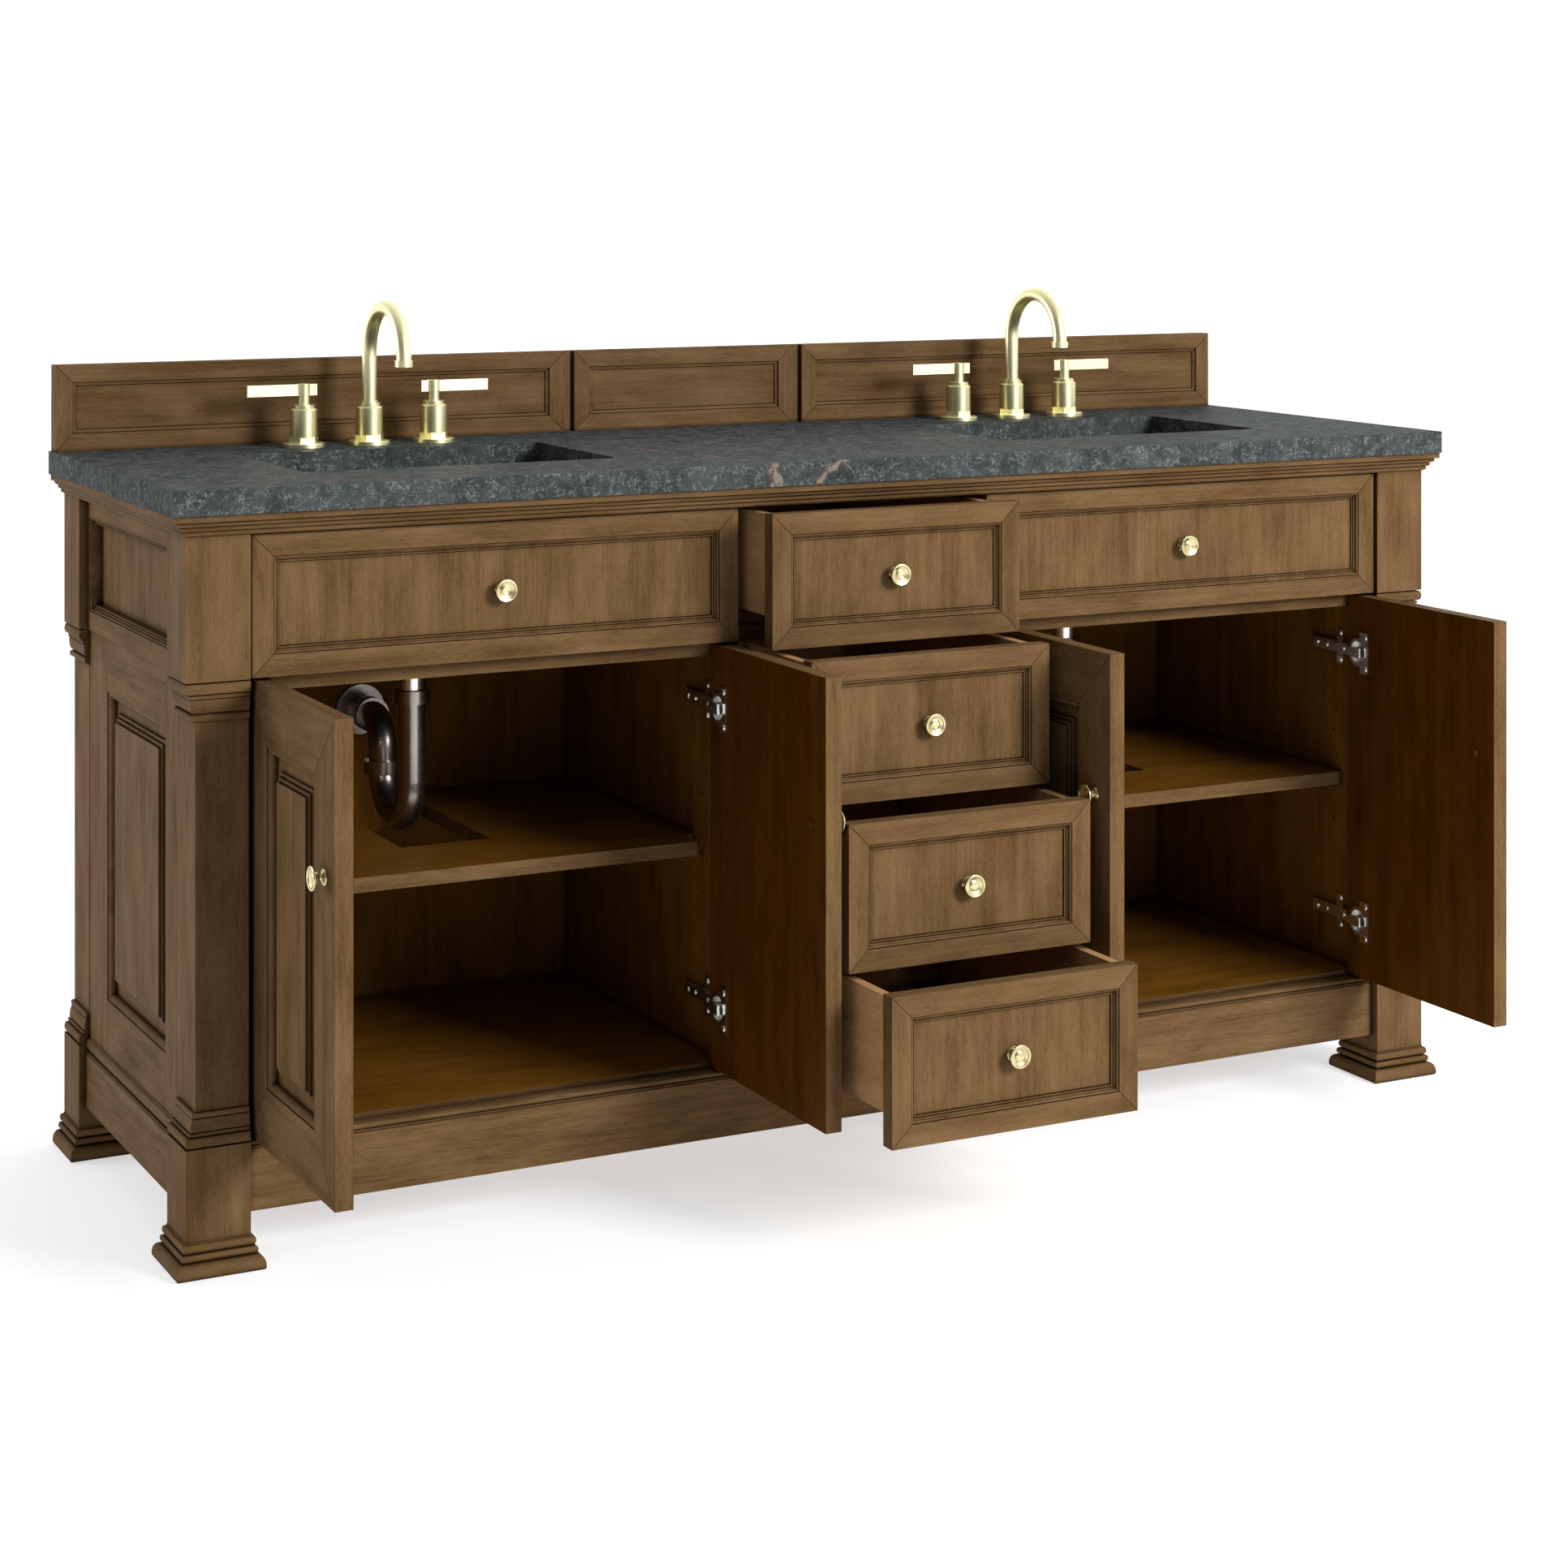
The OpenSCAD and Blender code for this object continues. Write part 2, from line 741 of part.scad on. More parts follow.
// Horizontal rails of the case: below the tip-outs, between the drawers and along the wall.
module rails() {
    t = 18;
    at_wall()
        color(wood) {
            both_sides()
                box([part_out, case_front, 665], [liner_in, case_front + t, 700]);
            for (d = [[680, 700], [500.7, 520], [321.3, 341]])
                box([-part_in, case_front, d[0]], [part_in, case_front + t, d[1]]);
            difference() {
                union() {
                    both_sides()
                        box([part_out, back_face - t, 790], [liner_in, back_face, 850]);
                    box([-part_in, back_face - t, 790], [part_in, back_face, 850]);
                }
                for (x = screw_x)
                    translate([x, back_face + 1, screw_z])
                        rotate([90, 0, 0])
                            cylinder(r = screw_r, h = t + 2);
            }
        }
}

// Two partitions beside the drawers, and the liners of the outer bays.
module partitions() {
    at_wall()
        color(dark_wood)
            both_sides()
                difference() {
                    union() {
                        box([part_in, case_front, floor_high], [part_out, back_face, crown_low]);
                        box([part_in, post_rear + eps, crown_low - 1], [part_out, back_face, top_low]);
                        box([stile_in, stile_face, floor_high], [stile_out, case_front + eps, 684]);
                        box([liner_in, case_front, floor_high], [post_in, back_face, crown_low]);
                    }
                    // Holes for shelf pins.
                    for (y = pin_y, z = [356, 404.3, 482]) {
                        translate([part_out - 8, y, z])
                            rotate([0, 90, 0])
                                cylinder(r = 2.5, h = 9);
                        translate([liner_in - 1, y, z])
                            rotate([0, 90, 0])
                                cylinder(r = 2.5, h = 9);
                    }
                }
}

module cabinet_floor() {
    at_wall()
        color(dark_wood)
            box([-post_in, case_front, floor_low], [post_in, back_face, floor_high]);
}

module back_panel() {
    at_wall()
        color(dark_wood)
            difference() {
                box([-post_in, back_face, floor_low], [post_in, back_face + back_t, crown_low]);
                for (s = [-1, 1])
                    translate([s * trap_x, back_face - 1, arm_z])
                        rotate([-90, 0, 0])
                            cylinder(r = 22, h = back_t + 2);
                for (x = screw_x)
                    translate([x, back_face - 1, screw_z])
                        rotate([-90, 0, 0])
                            cylinder(r = screw_r, h = back_t + 2);
            }
}

module shelves() {
    shelf_low = 407;
    at_wall()
        both_sides() {
            color(dark_wood)
                difference() {
                    box([part_out + 1, -505, shelf_low], [liner_in - 1, back_face - 1, shelf_low + 18]);
                    // Notch around the trap, and the clearance for the inner door's hinge side.
                    box([439, -369, shelf_low - 1], [560, 0, shelf_low + 19]);
                    box([part_out, -506, shelf_low - 1], [212, -462, shelf_low + 19]);
                }
            color(nickel)
                for (y = pin_y, side = [[part_out - 7.5, 15.5], [liner_in - 8, 15.5]])
                    translate([side[0], y, shelf_low - 2.7])
                        rotate([0, 90, 0])
                            cylinder(r = 2.45, h = side[1]);
        }
}

// ---------- hinges and runners ----------

// Arm and cross plate of one hinge on a wall at x = 0, facing +X; y is measured from the wall line.
module hinge_arm() {
    plate_y = -503;
    box([0, plate_y - 7, -25], [1.6, plate_y + 7, 25]);
    for (z = [-19, 19])
        translate([1.6, plate_y, z])
            rotate([0, 90, 0])
                cylinder(r = 4, h = 1.6);
    difference() {
        union() {
            box([0, -531, -8], [5, -445, 8]);
            box([0, -531, -8], [10, -512, 8]);
            box([4, -512, -6.5], [8, -450, 6.5]);
            for (z = [-8, 6.2])
                box([0, -533.2, z], [5.6, -512, z + 1.8]);
        }
        translate([6, -462, 0])
            rotate([0, 90, 0])
                cylinder(r = 3.2, h = 5);
    }
    for (y = [-480, -521])
        translate([y < -500 ? 9 : 7, y, 0])
            rotate([0, 90, 0])
                cylinder(r = 3.4, h = 2.2);
}

module hinge_arms() {
    at_wall()
        color(nickel)
            both_sides()
                for (z = hinge_z) {
                    translate([part_out, case_front + 534.5, z])
                        hinge_arm();
                    translate([liner_in, case_front + 534.5, z])
                        mirror([1, 0, 0])
                            hinge_arm();
                }
}

// Undermount slide members, fixed to the partitions below each drawer box.
module drawer_runners() {
    at_wall()
        color(nickel)
            both_sides()
                for (d = drawers) {
                    z = d[0] + box_rise - 1;
                    difference() {
                        box([151, case_front + 22, z - 13], [part_in, case_front + 472, z]);
                        box([155, case_front + 21, z - 10.5], [part_in - 6, case_front + 473, z + 1]);
                    }
                }
}

// ---------- doors ----------

// Places a door built closed at x = 0..door_w, z = 0..door_h with its face at y = 0.
module place_door(i) {
    mirror([i > 2 ? 1 : 0, 0, 0])
        translate([i == 1 || i == 4 ? -door_edge : -2 * bay_mid + door_edge, leaf_face, door_low])
            mirror([i == 2 || i == 3 ? 1 : 0, 0, 0])
                translate([pivot_dx, pivot_dy, 0])
                    rotate([0, 0, -door_open])
                        translate([-pivot_dx, -pivot_dy, 0])
                            children();
}

module door_frame(i) {
    rebate_x = door_frame_w - rebate;
    at_wall()
        color(wood)
            place_door(i)
                difference() {
                    cube([door_w, door_t, door_h]);
                    translate([door_frame_w, 0, door_frame_w])
                        framed_opening(door_w - 2 * door_frame_w, door_h - 2 * door_frame_w);
                    translate([rebate_x, panel_depth, rebate_x])
                        cube([door_w - 2 * rebate_x, door_t, door_h - 2 * rebate_x]);
                    mitre_lines(door_w, door_h, door_frame_w);
                    // Knob screw hole and hinge cup bores.
                    translate([door_w - knob_inset, -1, knob_z - door_low])
                        rotate([-90, 0, 0])
                            cylinder(r = 2.3, h = door_t + 2);
                    for (z = hinge_z)
                        translate([23, door_t - 12, z - door_low])
                            rotate([-90, 0, 0])
                                cylinder(r = 17.7, h = 13);
                }
}

module door_panel(i) {
    w = door_w - 2 * door_frame_w;
    h = door_h - 2 * door_frame_w;
    at_wall()
        color(wood)
            place_door(i)
                translate([door_frame_w, 0, door_frame_w]) {
                    translate([-rebate, panel_depth, -rebate])
                        cube([w + 2 * rebate, door_t - panel_depth, h + 2 * rebate]);
                    raised_field(w, h);
                }
}

// Cup, plate and link of both hinges, in a closed door's own coordinates.
module door_hinge_cups(i) {
    at_wall()
        color(nickel)
            place_door(i)
                for (z = hinge_z)
                    translate([0, door_t, z - door_low]) {
                        difference() {
                            union() {
                                box([27, 0, -29], [46, 1.4, 29]);
                                translate([23, -11.6, 0])
                                    rotate([-90, 0, 0]) {
                                        cylinder(r = 17.6, h = 11.6);
                                        translate([0, 0, 11.6 - eps])
                                            cylinder(r = 20, h = 1.4);
                                    }
                            }
                            translate([23, -10.6, 0])
                                rotate([-90, 0, 0])
                                    cylinder(r = 15.6, h = 13);
                        }
                        for (s = [-22, 22])
                            translate([38, 1.3, s])
                                rotate([-90, 0, 0])
                                    cylinder(r = 4.2, h = 1.3);
                        // Link, from inside the cup to the tail.
                        box([17, -9, -6], [33, 7, 6]);
                        box([2.9, 0.4, -6], [19, 4.9, 6]);
                    }
}

// Knob on a face at y = 0, pointing to -Y, with its screw through a wall of thickness t.
module knob(t) {
    head_r = 14.25;
    rim = 1.5;
    color(brass) {
        rotate([90, 0, 0])
            rotate_extrude()
                polygon(concat([[0, 0], [9.6, 0], [9.6, 1], [8.8, 1.9], [7.2, 2.1], [7.2, 3.1]],
                    arc(7.4, 6.6, 3.5, -110, -195, 6), [[4.2, 8.6], [5.6, 10.2], [10.6, 11.6]],
                    arc(head_r - rim, knob_h - rim - 0.6, rim, -60, 90, 8),
                    [[11, knob_h - 1], [10.6, knob_h - 2.2], [6.6, knob_h - 3.4], [6.2, knob_h - 2.4],
                     [5, knob_h - 1.9], [2.4, knob_h - 2.3], [0, knob_h - 2.5]]));
        rotate([-90, 0, 0]) {
            translate([0, 0, -eps])
                cylinder(r = 2, h = t + eps);
            translate([0, 0, t])
                cylinder(r = 4.2, h = 1.6);
        }
    }
}

module door_knob(i) {
    at_wall()
        place_door(i)
            translate([door_w - knob_inset, 0, knob_z - door_low])
                knob(door_t);
}

// ---------- drawers and tip-outs ----------

// Mitred front, w by h, with its face at y = 0 and its recess around the knob.
module mitred_front(w, h) {
    difference() {
        cube([w, door_t, h]);
        translate([front_frame_w, 0, front_frame_w])
            moulded_recess(w - 2 * front_frame_w, h - 2 * front_frame_w);
        mitre_lines(w, h, front_frame_w);
        translate([w / 2, -1, h / 2])
            rotate([-90, 0, 0])
                cylinder(r = 2.3, h = door_t + 2);
    }
}

module drawer_front(i) {
    d = drawers[i - 1];
    at_wall()
        color(wood)
            translate([-d[2], leaf_face - d[3], d[0]])
                mitred_front(2 * d[2], d[1] - d[0]);
}

// Box of five boards with hairline joints between them; the bottom stands above the runners.
module drawer_box(i) {
    d = drawers[i - 1];
    z0 = d[0] + box_rise;
    z1 = d[1] - box_drop;
    inner = box_half - box_wall;
    joint = 0.1;
    at_wall()
        color(pale_wood)
            translate([0, leaf_back - d[3], 0]) {
                both_sides()
                    box([inner, 0, z0], [box_half, box_long, z1]);
                difference() {
                    box([-inner + joint, 0, z0], [inner - joint, box_wall, z1]);
                    translate([0, -1, (d[0] + d[1]) / 2])
                        rotate([-90, 0, 0])
                            cylinder(r = 2.3, h = box_wall + 2);
                }
                box([-inner + joint, box_long - box_wall, z0 + 10], [inner - joint, box_long, z1]);
                box([-inner + joint, box_wall + joint, z0 + 10],
                    [inner - joint, box_long - box_wall - joint, z0 + 16]);
            }
}

module drawer_knob(i) {
    d = drawers[i - 1];
    at_wall()
        translate([0, leaf_face - d[3] + front_recess, (d[0] + d[1]) / 2])
            knob(door_t - front_recess + box_wall);
}

// Left edge of tip-out i, 1 on the left and 2 on the right.
function tip_x(i) = i == 1 ? -tip_out : tip_in;

module tip_out_front(i) {
    at_wall()
        color(wood)
            translate([tip_x(i), leaf_face, front_low])
                mitred_front(tip_out - tip_in, front_high - front_low);
}

// Narrow tray on the back of a tip-out.
module tip_out_tray(i) {
    wall = 2.5;
    depth = 62;
    low = 702;
    high = 760;
    at_wall()
        color(nickel)
            translate([tip_x(i), leaf_back, 0])
                difference() {
                    box([90, 0, low], [tip_out - tip_in - 90, depth, high]);
                    box([90 + wall, wall, low + wall],
                        [tip_out - tip_in - 90 - wall, depth - wall, high + 1]);
                }
}

module tip_out_knob(i) {
    at_wall()
        translate([tip_x(i) + (tip_out - tip_in) / 2, leaf_face + front_recess, (front_low + front_high) / 2])
            knob(door_t - front_recess);
}

countertop();
sink_basins();
drain_fittings();
trap_tubes();
backsplash_panels();
crown_moulding();
corner_posts();
post_capitals();
post_bases();
post_feet();
side_frames();
side_panels();
skirts();
rails();
partitions();
cabinet_floor();
back_panel();
shelves();
hinge_arms();
drawer_runners();
faucet_spouts();
faucet_valves();
for (i = [1:4]) {
    door_frame(i);
    door_panel(i);
    door_hinge_cups(i);
    door_knob(i);
    drawer_front(i);
    drawer_box(i);
    drawer_knob(i);
    faucet_lever(i);
}
for (i = [1:2]) {
    tip_out_front(i);
    tip_out_tray(i);
    tip_out_knob(i);
}
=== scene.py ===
"""Looks for the double-sink vanity cabinet: stained wood, veined stone, satin brass and nickel."""
import math
import bpy
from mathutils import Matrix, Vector


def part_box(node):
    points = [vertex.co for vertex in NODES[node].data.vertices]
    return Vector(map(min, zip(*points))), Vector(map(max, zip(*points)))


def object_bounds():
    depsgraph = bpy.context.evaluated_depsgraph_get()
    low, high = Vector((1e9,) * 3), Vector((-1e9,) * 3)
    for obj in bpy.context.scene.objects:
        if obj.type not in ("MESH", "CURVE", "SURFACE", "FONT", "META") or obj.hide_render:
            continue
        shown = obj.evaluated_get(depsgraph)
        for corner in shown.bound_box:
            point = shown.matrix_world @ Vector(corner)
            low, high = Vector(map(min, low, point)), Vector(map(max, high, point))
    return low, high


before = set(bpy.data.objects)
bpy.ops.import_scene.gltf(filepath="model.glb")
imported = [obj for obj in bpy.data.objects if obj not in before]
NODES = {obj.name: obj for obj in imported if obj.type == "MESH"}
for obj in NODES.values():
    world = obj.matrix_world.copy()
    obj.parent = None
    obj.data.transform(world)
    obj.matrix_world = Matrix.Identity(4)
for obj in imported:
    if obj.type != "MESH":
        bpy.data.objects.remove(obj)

CAD_BOX = [list(map(float, corner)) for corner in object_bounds()]
WALL_Y = CAD_BOX[1][1]
SCENE = bpy.context.scene

# Sizes of the cabinet that the looks follow, in metres.
TOP_DEPTH = 0.589
TOP_HEIGHT = 0.910
DOOR_RAIL_W = 0.070
FRONT_RAIL_W = 0.026
# The side's opening between its stiles, from the wall, and the height where the stiles end.
SIDE_STILES = (0.434, 0.167)
SIDE_SPLIT_Z = 0.684
# Ends of the backsplash frames and their joint, from the middle of the cabinet.
SPLASH_RAIL_W = 0.023
SPLASH_FRAME_ENDS = (0.911, 0.189)
SPLASH_MIDDLE_END = 0.174
SPLASH_JOINT = 0.1815
# How near a point has to be to a plane to be on it.
FACE_TOLERANCE = 0.0006
# Reach of the painted shade that darkens the grooves of the narrow mouldings.
FRONT_CREVICE = 0.007
SPLASH_CREVICE = 0.006

# Camera.
LENS = 70.89
SHIFT_Y = -0.3879
CAMERA_PLACE = (-1.90178, WALL_Y - 4.05227, 1.27163)
CAMERA_TURN = -27.09

# Light and floor.
WORLD_LEVEL = 0.80
WORLD_SLOPE = (0.58, 0.40, 0.0)
KEY = {"place": (1.9, -4.4, 2.6), "target": (0, 0, 0.5), "size": 1.6, "power": 330}
BACK_LEFT = {"place": (-4.4, 2.8, 1.5), "target": (-0.9, 0.2, 0.5), "size": 2.0, "power": 100}
FLOOR_HALF = 14.0
FLOOR_DROP = 0.0005
FLOOR_GREY = 0.5
FLOOR_GLOW = 0.58

# Sheen of wood and stone, both nearly flat.
WOOD_SPECULAR = 0.02
STONE_SPECULAR = 0.015


# ---------- camera, light, floor ----------

def make_camera():
    """Long lens, level, shifted down; the cabinet is seen from its left front."""
    data = bpy.data.cameras.new("camera")
    data.lens = LENS
    data.sensor_width = 36.0
    data.shift_y = SHIFT_Y
    data.clip_end = 50.0
    camera = bpy.data.objects.new("camera", data)
    camera.location = CAMERA_PLACE
    camera.rotation_euler = (math.radians(90), 0, math.radians(CAMERA_TURN))
    SCENE.collection.objects.link(camera)
    SCENE.camera = camera


def area_light(name, place, target, size, power):
    """Square light that looks from place at target."""
    data = bpy.data.lights.new(name, "AREA")
    data.shape = "RECTANGLE"
    data.size = data.size_y = size
    data.energy = power
    light = bpy.data.objects.new(name, data)
    light.location = place
    aim = Vector(target) - Vector(place)
    light.rotation_euler = aim.to_track_quat("-Z", "Y").to_euler()
    SCENE.collection.objects.link(light)


def make_world():
    """White studio walls: bright behind and to the right, darker to the front left."""
    world = bpy.data.worlds.new("studio")
    world.use_nodes = True
    tree = world.node_tree
    back = tree.nodes["Background"]
    back.inputs["Color"].default_value = (1, 1, 1, 1)
    facing = tree.nodes.new("ShaderNodeVectorMath")
    facing.operation = "DOT_PRODUCT"
    facing.inputs[1].default_value = WORLD_SLOPE
    tree.links.new(tree.nodes.new("ShaderNodeTexCoord").outputs["Generated"], facing.inputs[0])
    level = tree.nodes.new("ShaderNodeMath")
    level.operation = "ADD"
    level.inputs[1].default_value = WORLD_LEVEL
    tree.links.new(facing.outputs["Value"], level.inputs[0])
    tree.links.new(level.outputs[0], back.inputs["Strength"])
    SCENE.world = world


def make_floor():
    """Plain grey floor with a glow of its own, so that it looks white and its shadows pale."""
    mesh = bpy.data.meshes.new("floor")
    half = FLOOR_HALF
    corners = [(-half, -half, 0), (half, -half, 0), (half, half, 0), (-half, half, 0)]
    mesh.from_pydata(corners, [], [(0, 1, 2, 3)])
    floor = bpy.data.objects.new("floor", mesh)
    floor.location.z = -FLOOR_DROP
    SCENE.collection.objects.link(floor)
    mat = bpy.data.materials.new("floor_white")
    mat.use_nodes = True
    shader = mat.node_tree.nodes["Principled BSDF"]
    shader.inputs["Base Color"].default_value = (FLOOR_GREY,) * 3 + (1,)
    shader.inputs["Roughness"].default_value = 0.9
    shader.inputs["Emission Color"].default_value = (1, 1, 1, 1)
    shader.inputs["Emission Strength"].default_value = FLOOR_GLOW
    mesh.materials.append(mat)


SCENE.view_settings.view_transform = "Standard"
make_camera()
make_world()
make_floor()
area_light("key", **KEY)
area_light("back_left", **BACK_LEFT)


# ---------- node graph helper ----------

class Graph:
    """Builds shader nodes from short expressions. A value is a number or a socket."""

    def __init__(self, name):
        self.mat = bpy.data.materials.new(name)
        self.mat.use_nodes = True
        self.tree = self.mat.node_tree
        self.shader = self.tree.nodes["Principled BSDF"]
        coords = self.tree.nodes.new("ShaderNodeTexCoord")
        self.place = coords.outputs["Object"]
        self.normal = self.tree.nodes.new("ShaderNodeNewGeometry").outputs["True Normal"]

    def put(self, socket, value):
        if isinstance(value, bpy.types.NodeSocket):
            self.tree.links.new(value, socket)
        else:
            socket.default_value = value

    def math(self, op, a, b=0.0, c=0.0, clamp=False):
        node = self.tree.nodes.new("ShaderNodeMath")
        node.operation = op
        node.use_clamp = clamp
        for socket, value in zip(node.inputs, (a, b, c)):
            self.put(socket, value)
        return node.outputs[0]

    def add(self, a, b):
        return self.math("ADD", a, b)

    def sub(self, a, b):
        return self.math("SUBTRACT", a, b)

    def mul(self, a, b):
        return self.math("MULTIPLY", a, b)

    def less(self, a, b):
        return self.math("LESS_THAN", a, b)

    def both(self, a, b):
        return self.math("MULTIPLY", a, b)

    def abs(self, a):
        return self.math("ABSOLUTE", a)

    def split(self, vector):
        node = self.tree.nodes.new("ShaderNodeSeparateXYZ")
        self.put(node.inputs[0], vector)
        return node.outputs[0], node.outputs[1], node.outputs[2]

    def join(self, x, y, z):
        node = self.tree.nodes.new("ShaderNodeCombineXYZ")
        for socket, value in zip(node.inputs, (x, y, z)):
            self.put(socket, value)
        return node.outputs[0]

    def scaled(self, vector, factors, shift=(0, 0, 0)):
        node = self.tree.nodes.new("ShaderNodeMapping")
        self.put(node.inputs["Vector"], vector)
        node.inputs["Scale"].default_value = factors
        node.inputs["Location"].default_value = shift
        return node.outputs[0]

    def noise(self, vector, scale, detail=3.0, rough=0.5):
        node = self.tree.nodes.new("ShaderNodeTexNoise")
        self.put(node.inputs["Vector"], vector)
        self.put(node.inputs["Scale"], scale)
        node.inputs["Detail"].default_value = detail
        node.inputs["Roughness"].default_value = rough
        return node.outputs["Fac"]

    def voronoi(self, vector, scale):
        node = self.tree.nodes.new("ShaderNodeTexVoronoi")
        self.put(node.inputs["Vector"], vector)
        node.inputs["Scale"].default_value = scale
        return node.outputs["Distance"]

    def steps(self, value, low, high, out_low=0.0, out_high=1.0, smooth=True):
        node = self.tree.nodes.new("ShaderNodeMapRange")
        node.interpolation_type = "SMOOTHSTEP" if smooth else "LINEAR"
        self.put(node.inputs["Value"], value)
        node.inputs["From Min"].default_value = low
        node.inputs["From Max"].default_value = high
        node.inputs["To Min"].default_value = out_low
        node.inputs["To Max"].default_value = out_high
        return node.outputs["Result"]

    def mix(self, factor, a, b):
        """Colour mix. Inputs 6 and 7 and output 2 are the colour sockets of the node."""
        node = self.tree.nodes.new("ShaderNodeMix")
        node.data_type = "RGBA"
        self.put(node.inputs[0], factor)
        self.put(node.inputs[6], a)
        self.put(node.inputs[7], b)
        return node.outputs[2]

    def mix_vector(self, factor, a, b):
        """Vector mix. Inputs 4 and 5 and output 1 are the vector sockets of the node."""
        node = self.tree.nodes.new("ShaderNodeMix")
        node.data_type = "VECTOR"
        self.put(node.inputs[0], factor)
        self.put(node.inputs[4], a)
        self.put(node.inputs[5], b)
        return node.outputs[1]

    def moved(self, amount, factors, vector):
        """The vector shifted by amount times factors."""
        node = self.tree.nodes.new("ShaderNodeVectorMath")
        node.operation = "MULTIPLY_ADD"
        self.put(node.inputs[0], amount)
        node.inputs[1].default_value = factors
        self.put(node.inputs[2], vector)
        return node.outputs[0]

    def bump(self, height, strength, distance):
        node = self.tree.nodes.new("ShaderNodeBump")
        node.inputs["Strength"].default_value = strength
        node.inputs["Distance"].default_value = distance
        self.put(node.inputs["Height"], height)
        self.put(self.shader.inputs["Normal"], node.outputs[0])

    def crevice(self, distance):
        node = self.tree.nodes.new("ShaderNodeAmbientOcclusion")
        node.samples = 4
        node.only_local = False
        node.inputs["Distance"].default_value = distance
        return node.outputs["AO"]


def rgb(r, g, b):
    """A linear colour with alpha from sRGB values of 0 to 255."""
    def linear(c):
        c /= 255.0
        return c / 12.92 if c <= 0.04045 else ((c + 0.055) / 1.055) ** 2.4
    return (linear(r), linear(g), linear(b), 1.0)


# ---------- grain directions ----------
# A picker returns a place vector whose Z runs along the grain.

def along_z(g, shift=(0, 0, 0)):
    return g.scaled(g.place, (1, 1, 1), shift)


def along_x(g, shift=(0, 0, 0)):
    x, y, z = g.split(g.place)
    return g.scaled(g.join(y, z, x), (1, 1, 1), shift)


def along_y(g, shift=(0, 0, 0)):
    x, y, z = g.split(g.place)
    return g.scaled(g.join(z, x, y), (1, 1, 1), shift)


def around(g):
    """Runs level: along Y on faces that look sideways, along X on the others."""
    nx, ny, _ = g.split(g.normal)
    side = g.less(g.abs(ny), g.abs(nx))
    return g.mix_vector(side, along_x(g, (0.3, 0.7, 0)), along_y(g))


def mitred(box, wide, frame_w):
    """Picker for a mitred frame. wide is the axis of its width, 0 or 1."""
    (lo, hi) = box
    mid = [(a + b) / 2 for a, b in zip(lo, hi)]
    half = [(b - a) / 2 for a, b in zip(lo, hi)]

    def pick(g):
        p = g.split(g.place)
        u = g.sub(p[wide], mid[wide])
        v = g.sub(p[2], mid[2])
        du = g.sub(half[wide], g.abs(u))
        dv = g.sub(half[2], g.abs(v))
        rail = g.both(g.less(dv, du), g.less(dv, frame_w))
        stile = g.both(g.less(du, dv), g.less(du, frame_w))
        level = along_x(g, (1.7, 0, 0)) if wide == 0 else along_y(g, (1.7, 0, 0))
        # The four pieces are cut from different boards.
        which = g.join(g.mul(g.less(u, 0), stile), g.mul(g.less(v, 0), rail), 0)
        vector = g.mix_vector(rail, along_z(g, (0.9, 0.4, 0)), level)
        return g.moved(which, (3.1, 2.3, 1.0), vector)
    return pick


# ---------- wood ----------

# Stained faces, dark insides of the doors, inner boards, and the pale drawer boxes.
OUTSIDE = {"light": rgb(112, 87, 60), "mid": rgb(93, 71, 45),
           "dark": rgb(69, 47, 24), "pore": rgb(30, 15, 4)}
INSIDE = {"light": rgb(90, 53, 9), "mid": rgb(75, 42, 4),
          "dark": rgb(53, 28, 2), "pore": rgb(25, 11, 1)}
BOARD = {"light": rgb(118, 79, 25), "mid": rgb(101, 66, 18),
         "dark": rgb(75, 47, 10), "pore": rgb(40, 23, 5)}
PALE = {"light": rgb(174, 138, 99), "mid": rgb(158, 122, 83),
        "dark": rgb(133, 99, 61), "pore": rgb(68, 43, 20)}


def wood_colour(g, vector, tones, coarse):
    """Colour and height of stained wood whose grain runs along the vector's Z. The noises are
    dense across the grain and stretched along it; coarse, 0 to 1, deepens streaks and pores."""
    blotch = g.noise(g.scaled(vector, (26, 26, 9)), 1.0, 3.0, 0.55)
    board = g.noise(g.scaled(vector, (75, 75, 3)), 1.0, 3.0, 0.5)
    streak = g.noise(g.scaled(vector, (340, 340, 11)), 1.0, 4.0, 0.6)
    fibre = g.noise(g.scaled(vector, (1300, 1300, 110)), 1.0, 3.0, 0.65)
    tone = g.add(g.mul(g.sub(blotch, 0.5), 1.2), g.mul(g.sub(board, 0.5), 0.7))
    tone = g.add(tone, g.mul(g.sub(streak, 0.5), 0.45 + 0.5 * coarse))
    tone = g.add(tone, g.mul(g.sub(fibre, 0.5), 1.1))
    tone = g.math("ADD", tone, 0.5, clamp=True)
    low = g.mix(g.steps(tone, 0.0, 0.5, smooth=False), tones["dark"], tones["mid"])
    colour = g.mix(g.steps(tone, 0.5, 1.0, smooth=False), low, tones["light"])
    pore_field = g.noise(g.scaled(vector, (700, 700, 30), (2, 5, 1)), 1.0, 2.0, 0.5)
    pores = g.steps(pore_field, 0.64, 0.74)
    colour = g.mix(g.mul(pores, 0.28 + 0.3 * coarse), colour, tones["pore"])
    height = g.sub(g.add(g.mul(streak, 0.7), g.mul(fibre, 0.35)), g.mul(pores, 0.5))
    return colour, height


